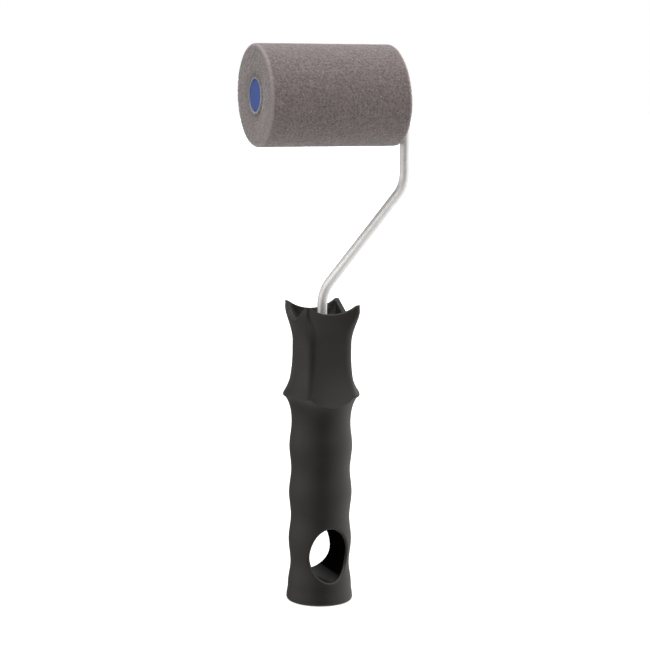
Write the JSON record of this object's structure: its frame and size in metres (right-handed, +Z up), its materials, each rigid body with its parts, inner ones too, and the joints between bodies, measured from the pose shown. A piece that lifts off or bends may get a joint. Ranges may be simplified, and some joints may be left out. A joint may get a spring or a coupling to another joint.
{
  "type": "mini paint roller",
  "caption": "Mini paint roller: moulded handle with guard and horned crown, cranked steel wire frame, and a foam roller that spins on its axle.",
  "frame": {"origin": "centre of the handle's flat base", "axes": "+Z up along the handle towards the roller, +X towards the wire's offset arm, roller axis along X, -Y the front"},
  "size_m": [0.08, 0.048, 0.2708],
  "materials": {
    "handle_plastic": "satin moulded polypropylene",
    "wire_steel": "bright zinc plated wire",
    "spring_steel": "plain spring steel",
    "washer_plastic": "natural nylon",
    "blue_plastic": "satin moulded",
    "tube_plastic": "extruded",
    "foam": "open-cell foam"
  },
  "bodies": {
    "handle_frame": {"handle_body": "handle_plastic", "wire_frame": "wire_steel", "retaining_washer": "spring_steel"},
    "floating_washer": {"thrust_washer": "washer_plastic"},
    "roller": {"foam_cover": "foam", "core_tube": "tube_plastic", "end_plug": "blue_plastic", "bearing_bush": "blue_plastic"}
  },
  "joints": [
    {"name": "end_float", "type": "slide", "parent": "handle_frame", "child": "floating_washer", "axis": [-1, 0, 0], "range_m": [0, 0.0006]},
    {"name": "roller_spin", "type": "hinge", "parent": "floating_washer", "child": "roller", "pos_m": [0, 0, 0.2468], "axis": [1, 0, 0], "continuous": true}
  ]
}
